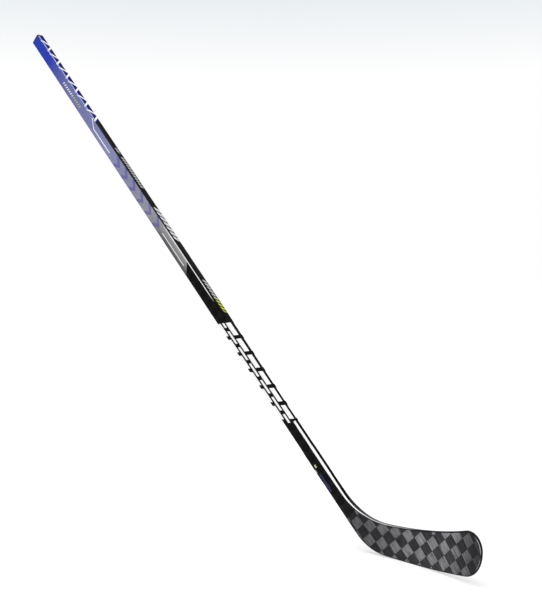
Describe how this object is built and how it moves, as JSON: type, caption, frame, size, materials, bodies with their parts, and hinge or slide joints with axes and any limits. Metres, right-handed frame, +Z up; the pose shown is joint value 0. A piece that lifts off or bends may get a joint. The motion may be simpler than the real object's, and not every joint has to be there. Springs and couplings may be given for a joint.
{
  "type": "ice hockey stick",
  "caption": "One-piece composite ice hockey stick for a left-hand shot: tapered hollow shaft with a pull-out end plug, fused to a curved foam-cored blade with woven carbon faces.",
  "frame": {"origin": "middle of the rockered sole, where the blade touches the ice", "axes": "+X along the blade to the toe, +Z up from the ice, +Y to the backhand side, so the forehand face looks to -Y; the shaft rises towards -X at the lie angle"},
  "size_m": [1.3198, 0.062, 1.1572],
  "materials": {
    "shaft_laminate": "satin painted carbon laminate",
    "plug_plastic": "moulded plastic",
    "damping_foam": "closed-cell foam",
    "hosel_laminate": "satin painted carbon laminate",
    "neck_foam": "rigid foam",
    "epoxy": "cured epoxy",
    "overwrap_laminate": "satin painted carbon laminate",
    "heel_foam": "rigid foam",
    "blade_foam": "rigid foam",
    "rib_laminate": "raw carbon laminate",
    "toe_rubber": "rubbery core",
    "woven_carbon": "spread-tow woven carbon under clear coat",
    "edge_laminate": "painted carbon laminate"
  },
  "bodies": {
    "stick": {"shaft_tube": "shaft_laminate", "damping_foam": "damping_foam", "hosel": "hosel_laminate", "neck_core": "neck_foam", "tenon_adhesive": "epoxy", "hosel_overwrap": "overwrap_laminate", "heel_core": "heel_foam", "upper_core": "blade_foam", "lower_core": "blade_foam", "bridge_rib": "rib_laminate", "toe_core": "toe_rubber", "forehand_skin": "woven_carbon", "backhand_skin": "woven_carbon", "top_edge_strip": "edge_laminate", "sole_edge_strip": "edge_laminate", "toe_edge_wrap": "edge_laminate"},
    "plug": {"end_plug": "plug_plastic"}
  },
  "joints": [
    {"name": "end_plug_pull", "type": "slide", "parent": "stick", "child": "plug", "axis": [-0.682, 0, 0.7314], "range_m": [0, 0.05]}
  ]
}
